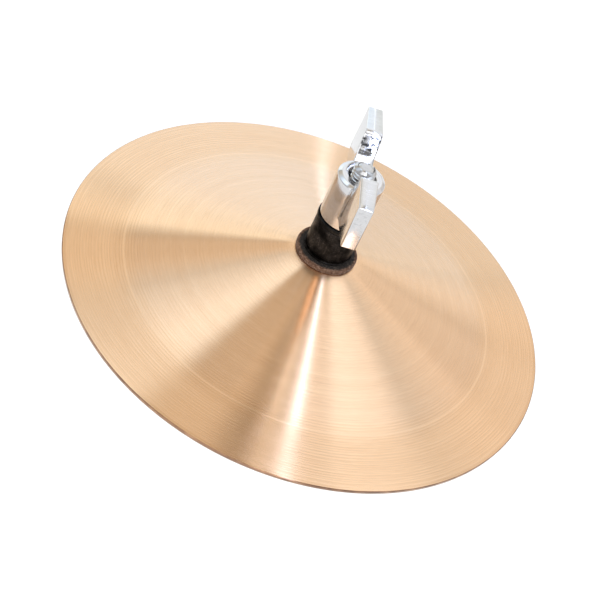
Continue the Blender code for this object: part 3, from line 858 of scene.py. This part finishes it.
# Captive washer
# A smooth black nylon ring between the spacer and the wing nut. It travels with the nut.

NUT_WASHER_RADIUS = 6.35 * MM
NUT_WASHER_Z = 46.85 * MM
NUT_WASHER_TOP_Z = NUT_WASHER_Z + 1.3 * MM

nut_washer = turned("nylon_nut_washer", rounded([
    (NUT_WASHER_RADIUS, NUT_WASHER_TOP_Z), (ROD_BORE_RADIUS, NUT_WASHER_TOP_Z),
    (ROD_BORE_RADIUS, NUT_WASHER_Z), (NUT_WASHER_RADIUS, NUT_WASHER_Z),
], 0.25 * MM, 5), 160)
nut_washer.data.materials.append(
    nylon("smooth_black_nylon", (0.003, 0.003, 0.003), (0.012, 0.011, 0.010), 0.22, 4.0, 0.15)
)
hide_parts("nut_washer")
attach(nut_washer, "nut_washer")


# Wing nut
# Die cast in zinc with a long hub and two faceted wings, tapped M6, ground along the tops of
# its wings and chromed.

HUB_Z = 48.4 * MM
HUB_TOP_Z = 62.1 * MM
HUB_RADIUS = 6.1 * MM
HUB_MOUTH_RADIUS = 3.6 * MM
WING_REACH = 19.3 * MM
WING_NECK = HUB_RADIUS + 1.3 * MM
WING_ROOT = (HUB_RADIUS + ROD_BORE_RADIUS) / 2.0
WING_ROOT_LOW_Z = HUB_TOP_Z - 10.1 * MM
WING_WIDTH = 4.6 * MM
WING_TAPER = 0.8 * MM
WING_ROUNDING = 0.35 * MM

hub = turned("wing_nut_hub", rounded([
    (HUB_RADIUS - 0.9 * MM, HUB_TOP_Z), (HUB_MOUTH_RADIUS, HUB_TOP_Z),
    (HUB_MOUTH_RADIUS, HUB_TOP_Z - 0.5 * MM), (ROD_BORE_RADIUS, HUB_TOP_Z - 0.95 * MM),
    (ROD_BORE_RADIUS, HUB_Z), (HUB_RADIUS, HUB_Z), (HUB_RADIUS, HUB_TOP_Z - 0.6 * MM),
], 0.22 * MM, 4), 192)


def height_at(chain, reach):
    """Height of a chain of (reach, height) points at a distance from the axis."""
    for (near, low), (far, high) in zip(chain, chain[1:]):
        if reach <= far:
            return low + (high - low) * (reach - near) / (far - near)
    return chain[-1][1]


def wing_width(reach, share):
    """Width of a wing at a reach, and at a share of the way up its root."""
    if reach >= WING_NECK:
        return WING_WIDTH - WING_TAPER * (reach - WING_NECK) / (WING_REACH - WING_NECK)
    inside_hub = 0.95 * 2.0 * math.sqrt(HUB_RADIUS ** 2 - WING_ROOT ** 2)
    flare = min((7.2 - 1.8 * share) * MM, inside_hub)
    along = (WING_NECK - reach) / (WING_NECK - WING_ROOT)
    return WING_WIDTH + (flare - WING_WIDTH) * along ** 2


def wing_section(reach, inset=0.0):
    """Rounded rectangle across a wing at a reach, drawn in by an inset on all its sides."""
    low, high = height_at(wing_low, reach), height_at(wing_top, reach)
    rounding = max(WING_ROUNDING - inset, 0.07 * MM)
    points = []
    for side, up, start in ((1, 0, -90.0), (1, 1, 0.0), (-1, 1, 90.0), (-1, 0, 180.0)):
        height = high - inset if up else low + inset
        share = min(max((height - WING_ROOT_LOW_Z) / (HUB_TOP_Z - WING_ROOT_LOW_Z), 0.0), 1.0)
        half = wing_width(reach, share) / 2.0 - inset
        centre = (side * (half - rounding), height - rounding if up else height + rounding)
        for step in range(6):
            angle = math.radians(start + 90.0 * step / 5)
            x, z = centre[0] + rounding * math.cos(angle), centre[1] + rounding * math.sin(angle)
            points.append((x, reach, z))
    return points


hub_edge = (HUB_RADIUS - 0.9 * MM, HUB_TOP_Z - 0.6 * MM)
foot = (6.5 * MM, HUB_TOP_Z + 0.9 * MM)
inner_corner = (8.6 * MM, HUB_TOP_Z + 7.18 * MM)
outer_corner = (WING_REACH, HUB_TOP_Z + 6.3 * MM)
wing_top = [(WING_ROOT, hub_edge[1]), hub_edge]
wing_top += bend(hub_edge, foot, inner_corner, 0.9 * MM, 8)
wing_top += bend(foot, inner_corner, outer_corner, 1.0 * MM, 8)
wing_top.append(outer_corner)
wing_low = [
    (WING_ROOT, WING_ROOT_LOW_Z), (HUB_RADIUS, WING_ROOT_LOW_Z),
    (WING_REACH, HUB_TOP_Z - 7.0 * MM),
]
wing_end = WING_REACH - WING_ROUNDING
stations = [point[0] for point in wing_top + wing_low if point[0] < wing_end]
stations += [WING_ROOT + (WING_NECK - WING_ROOT) * step / 10 for step in range(1, 11)]
stations += [WING_NECK + (wing_end - WING_NECK) * step / 8 for step in range(1, 8)]
spaced = []
for station in sorted(stations):
    if not spaced or station - spaced[-1] > 0.04 * MM:
        spaced.append(station)
sections = [wing_section(station) for station in spaced]
for step in range(7):
    angle = math.radians(90.0 * step / 6)
    sections.append(wing_section(
        wing_end + WING_ROUNDING * math.sin(angle), WING_ROUNDING * (1.0 - math.cos(angle))
    ))
solid = bmesh.new()
for side in (1, -1):
    rows = [
        [solid.verts.new((side * x, side * y, z)) for x, y, z in section] for section in sections
    ]
    count = len(rows[0])
    for row, following in zip(rows, rows[1:]):
        for index in range(count):
            after = (index + 1) % count
            solid.faces.new((row[index], row[after], following[after], following[index]))
    solid.faces.new(rows[0])
    solid.faces.new(rows[-1])
mesh = bpy.data.meshes.new("wings")
solid.to_mesh(mesh)
solid.free()
welded(mesh, 24.0)
wings = placed("wing_nut_wings", mesh)

# Dark patches are painted on the slopes that face the rod: casting pits, with a painted reflection
# of the rod's dark end in them. Faint marks lie on the wings' ends.
nut_chrome = plated_steel("cast_chrome", (0.66, 0.66, 0.675), (0.76, 0.76, 0.77), 0.09, 2.2, 0.18)
g = Graph(nut_chrome.node_tree)
shader = nut_chrome.node_tree.nodes["Principled BSDF"]
place = g.node("ShaderNodeTexCoord").outputs["Object"]
split = g.node("ShaderNodeSeparateXYZ", i0=place)
reach = g.math("MULTIPLY", g.math("ABSOLUTE", split.outputs[1]), 1000.0)
up = g.math("MULTIPLY", split.outputs[2], 1000.0)
inner_slope = g.math(
    "MINIMUM", g.spread(reach, 6.6, 7.0, 0.0, 1.0), g.spread(reach, 8.3, 8.7, 1.0, 0.0)
)
inner_slope = g.math("MULTIPLY", inner_slope, g.spread(up, 64.0, 64.6, 0.0, 1.0))
pits_and_rod_reflection = g.spread(g.cloud(place, 950.0, 3.0, 0.6), 0.50, 0.55, 0.0, 0.92)
outer_end = g.spread(reach, 19.0, 19.2, 0.0, 1.0)
marked = g.spread(g.cloud(place, 1400.0, 3.0), 0.52, 0.66, 0.0, 0.14)
# Near-black is mixed in: pits with a painted reflection on the inner slopes, faint marks on the
# ends.
pits_marks_and_reflection = g.node(
    "ShaderNodeMix", _data_type="RGBA",
    i0=g.math(
        "MAXIMUM", g.math("MULTIPLY", inner_slope, pits_and_rod_reflection), g.math("MULTIPLY", outer_end, marked)
    ),
    i6=shader.inputs["Base Color"].links[0].from_socket, i7=(0.035, 0.035, 0.04, 1.0),
)
join(g, shader, Base_Color=pits_marks_and_reflection.outputs[2])
tapped_zinc = plated_steel("tapped_zinc", (0.13, 0.13, 0.14), (0.24, 0.24, 0.25), 0.3, 6.0, 0.4)
nut_thread = grown(
    "wing_nut_thread", thread, Crest_Radius=ROD_BORE_RADIUS, Root_Radius=3.45 * MM,
    Pitch=1.0 * MM, Bottom=HUB_Z + 0.3 * MM, Top=HUB_TOP_Z - 0.6 * MM, Run_Out=0.4 * MM,
    Points_a_Turn=64, Finish=tapped_zinc,
)
for piece in (hub, wings):
    piece.data.materials.append(nut_chrome)
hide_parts("wing_nut")
for piece in (hub, wings, nut_thread):
    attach(piece, "wing_nut")


# Floor, light and camera
# A wide pale floor lies below the part, so that only a faint shadow falls in view. The world
# holds soft panels in the places of the photograph's lamps, walls and ceiling.

FLOOR_Z = -0.25
FLOOR_REACH = 6.0
TURN = math.radians(-13.1)
RISE = math.radians(41.25)
ROLL = math.radians(26.01)
STANDOFF = 0.7

mesh = bpy.data.meshes.new("studio_floor")
mesh.from_pydata(
    [(x * FLOOR_REACH, y * FLOOR_REACH, FLOOR_Z) for x, y in ((-1, -1), (1, -1), (1, 1), (-1, 1))],
    [], [(0, 1, 2, 3)],
)
floor = placed("studio_floor", mesh)
paper, g, shader, place = new_material("pale_paper")
tone = g.cloud(place, 3.0, 2.0)
join(
    g, shader, Base_Color=g.ramp(tone, (0.3, (0.79, 0.775, 0.745)), (0.7, (0.81, 0.795, 0.765))),
    Roughness=1.0, Specular_IOR_Level=0.0,
)
rays = g.node("ShaderNodeLightPath").outputs
glow = g.math(
    "ADD", g.math("MULTIPLY", rays["Is Camera Ray"], 0.3),
    g.math("MULTIPLY", rays["Is Glossy Ray"], 0.18),
)
lift = g.node("ShaderNodeEmission", Strength=glow)
both = g.node("ShaderNodeAddShader", i0=shader.outputs[0], i1=lift.outputs[0])
g.tree.links.new(both.outputs[0], g.tree.nodes["Material Output"].inputs["Surface"])
mesh.materials.append(paper)


def from_photo(x, y, z):
    """A direction given as the photograph shows it, turned into the part's own axes."""
    return Vector((
        math.cos(TURN) * x - math.sin(TURN) * y,
        math.sin(TURN) * x + math.cos(TURN) * y,
        z,
    ))


# The panels are laid out round the direction that a level face mirrors to the camera. Their
# bearings are degrees round it, and `away` is the distance from it as seen from above, from 0
# to 1.75. Each panel has a zone of distances, the bearings between which it opens and closes,
# a radiance and a tint.
world = bpy.data.worlds.new("studio")
bpy.context.scene.world = world
world.use_nodes = True
g = Graph(world.node_tree)
toward = g.node("ShaderNodeTexCoord").outputs["Generated"]
aside, backward = (
    g.node("ShaderNodeVectorMath", _operation="DOT_PRODUCT", i0=toward, i1=axis).outputs["Value"]
    for axis in (from_photo(1, 0, 0), from_photo(0, 1, 0))
)
over = g.math("SUBTRACT", backward, math.cos(RISE))
bearing = g.math("MULTIPLY", g.math("ARCTAN2", over, aside), 180.0 / math.pi)
full_bearing = g.math("FLOORED_MODULO", bearing, 360.0)
away = g.math("SQRT", g.math("ADD", g.math("POWER", over, 2.0), g.math("POWER", aside, 2.0)))
pole = g.spread(away, 0.09, 0.16, 1.0, 0.0)
outer = g.spread(away, 0.30, 0.45, 0.0, 1.0)
front = g.spread(away, 1.0, 1.2, 0.0, 1.0)
near = g.math("SUBTRACT", g.math("SUBTRACT", 1.0, outer), pole)
far = g.math("SUBTRACT", outer, front)
around = g.math("SUBTRACT", 1.0, pole)
light = (0.0, 0.0, 0.0)
for name, where, edges, radiance, tint in (
    ("open sky between the lamps", pole, None, 1.15, (1.0, 1.01, 1.03)),
    ("front wall, middle", front, (-112, -100, -80, -68), 1.60, (1.0, 1.0, 1.0)),
    ("front wall, left", front, (180, 180, 248, 260), 0.55, (1.0, 1.0, 1.0)),
    ("front wall, right", front, (-80, -68, 180, 180), 0.50, (1.0, 1.0, 1.0)),
    ("left wall, near", near, (176, 188, 210, 220), 0.97, (1.12, 1.08, 0.97)),
    ("left softbox's edge, near", near, (-150, -140, -122, -114), 0.69, (1.15, 1.10, 1.00)),
    ("left softbox, near", near, (-122, -114, -98, -92), 0.90, (1.15, 1.10, 1.00)),
    ("ceiling, near", near, (-98, -92, -84.5, -83.5), 0.22, (1.20, 1.10, 0.95)),
    ("right softbox, near", near, (-73.6, -72, -50, -20), 0.96, (1.00, 1.04, 1.08)),
    ("right wall, near", near, (-50, -20, 4, 16), 1.02, (1.06, 1.05, 1.02)),
    ("right flag", near, (4, 16, 24, 38), 0.86, (1.22, 1.16, 1.05)),
    ("back wall right, near", near, (24, 40, 100, 115), 0.91, (1.05, 1.08, 1.05)),
    ("back wall left, near", near, (100, 115, 170, 188), 1.10, (1.02, 1.12, 1.20)),
    ("left wall", far, (158, 176, 187, 193), 1.32, (1.00, 1.07, 1.07)),
    ("left flag", far, (-171, -165, -155, -145), 0.60, (1.20, 1.07, 0.90)),
    ("left softbox, bright edge", far, (-158, -125, -117, -111), 0.92, (0.93, 1.07, 1.24)),
    ("left softbox", far, (-155, -143, -116, -109), 0.54, (0.98, 1.05, 1.10)),
    ("ceiling", far, (-116, -109, -96, -90), 0.50, (1.25, 1.10, 0.90)),
    ("ceiling's seam", far, (-98, -91, -85, -83.5), 0.38, (1.30, 1.10, 0.85)),
    ("strip light's second tube", around, (-83.8, -83.2, -82.6, -82.2), 1.30, (1.0, 1.0, 1.0)),
    ("strip light's reflector", around, (-84, -82.8, -77.2, -76.4), 0.66, (1.08, 1.04, 1.00)),
    ("strip light", around, (-77.0, -76.4, -74.6, -74.0), 3.60, (0.90, 1.07, 1.55)),
    ("strip light's far end", near, (102, 103.3, 105.2, 106.8), 1.40, (0.92, 1.05, 1.40)),
    ("between the lamps", far, (-74.4, -73.8, -69, -64), 1.08, (1.02, 1.03, 1.05)),
    ("right softbox, bright edge", far, (-69, -62, -56, -34), 0.40, (0.92, 1.03, 1.26)),
    ("right softbox", far, (-69, -63, -44, -8), 1.14, (0.97, 1.03, 1.11)),
    ("right wall", far, (-34, -14, 8, 36), 0.75, (1.08, 1.02, 0.97)),
    ("back wall right", far, (14, 44, 80, 110), 1.80, (1.03, 1.08, 1.10)),
    ("back wall left", far, (80, 110, 158, 176), 1.08, (1.00, 1.10, 1.20)),
):
    window = where
    if edges is not None:
        angle = full_bearing if edges[3] > 180 else bearing
        opens = g.spread(angle, edges[0], edges[1], 0.0, 1.0) if edges[1] > edges[0] else 1.0
        closes = g.spread(angle, edges[2], edges[3], 1.0, 0.0) if edges[3] > edges[2] else 1.0
        window = g.math("MULTIPLY", where, g.math("MINIMUM", opens, closes))
    panel = g.node(
        "ShaderNodeVectorMath", _operation="MULTIPLY_ADD", _label=name,
        i0=window, i1=[radiance * channel for channel in tint], i2=light,
    )
    light = panel.outputs[0]
seen = g.node("ShaderNodeLightPath").outputs["Is Camera Ray"]
shown = g.node("ShaderNodeMix", _data_type="RGBA", i0=seen, i6=light, i7=(1.0, 1.0, 1.0, 1.0))
g.tree.links.new(shown.outputs[2], world.node_tree.nodes["Background"].inputs["Color"])

view = bpy.data.cameras.new("camera")
camera = bpy.data.objects.new("camera", view)
bpy.context.scene.collection.objects.link(camera)
bpy.context.scene.camera = camera
back = from_photo(0.0, -math.cos(RISE), math.sin(RISE))
side = from_photo(1.0, 0.0, 0.0)
lift_axis = back.cross(side)
right = math.cos(ROLL) * side + math.sin(ROLL) * lift_axis
up = back.cross(right)
aim = Vector((0.0, 0.0, CHIME_RIM_Z - 0.1 * MM)) - 0.91 * MM * right - 0.77 * MM * up
eye = aim + STANDOFF * back
pose = camera.matrix_world.copy()
for k in range(3):
    pose[k][0], pose[k][1], pose[k][2], pose[k][3] = right[k], up[k], back[k], eye[k]
camera.matrix_world = pose
view.sensor_width = 36.0
view.lens = 165.9
view.clip_start = 0.01
view.clip_end = 50.0

bpy.context.scene.view_settings.view_transform = "Standard"
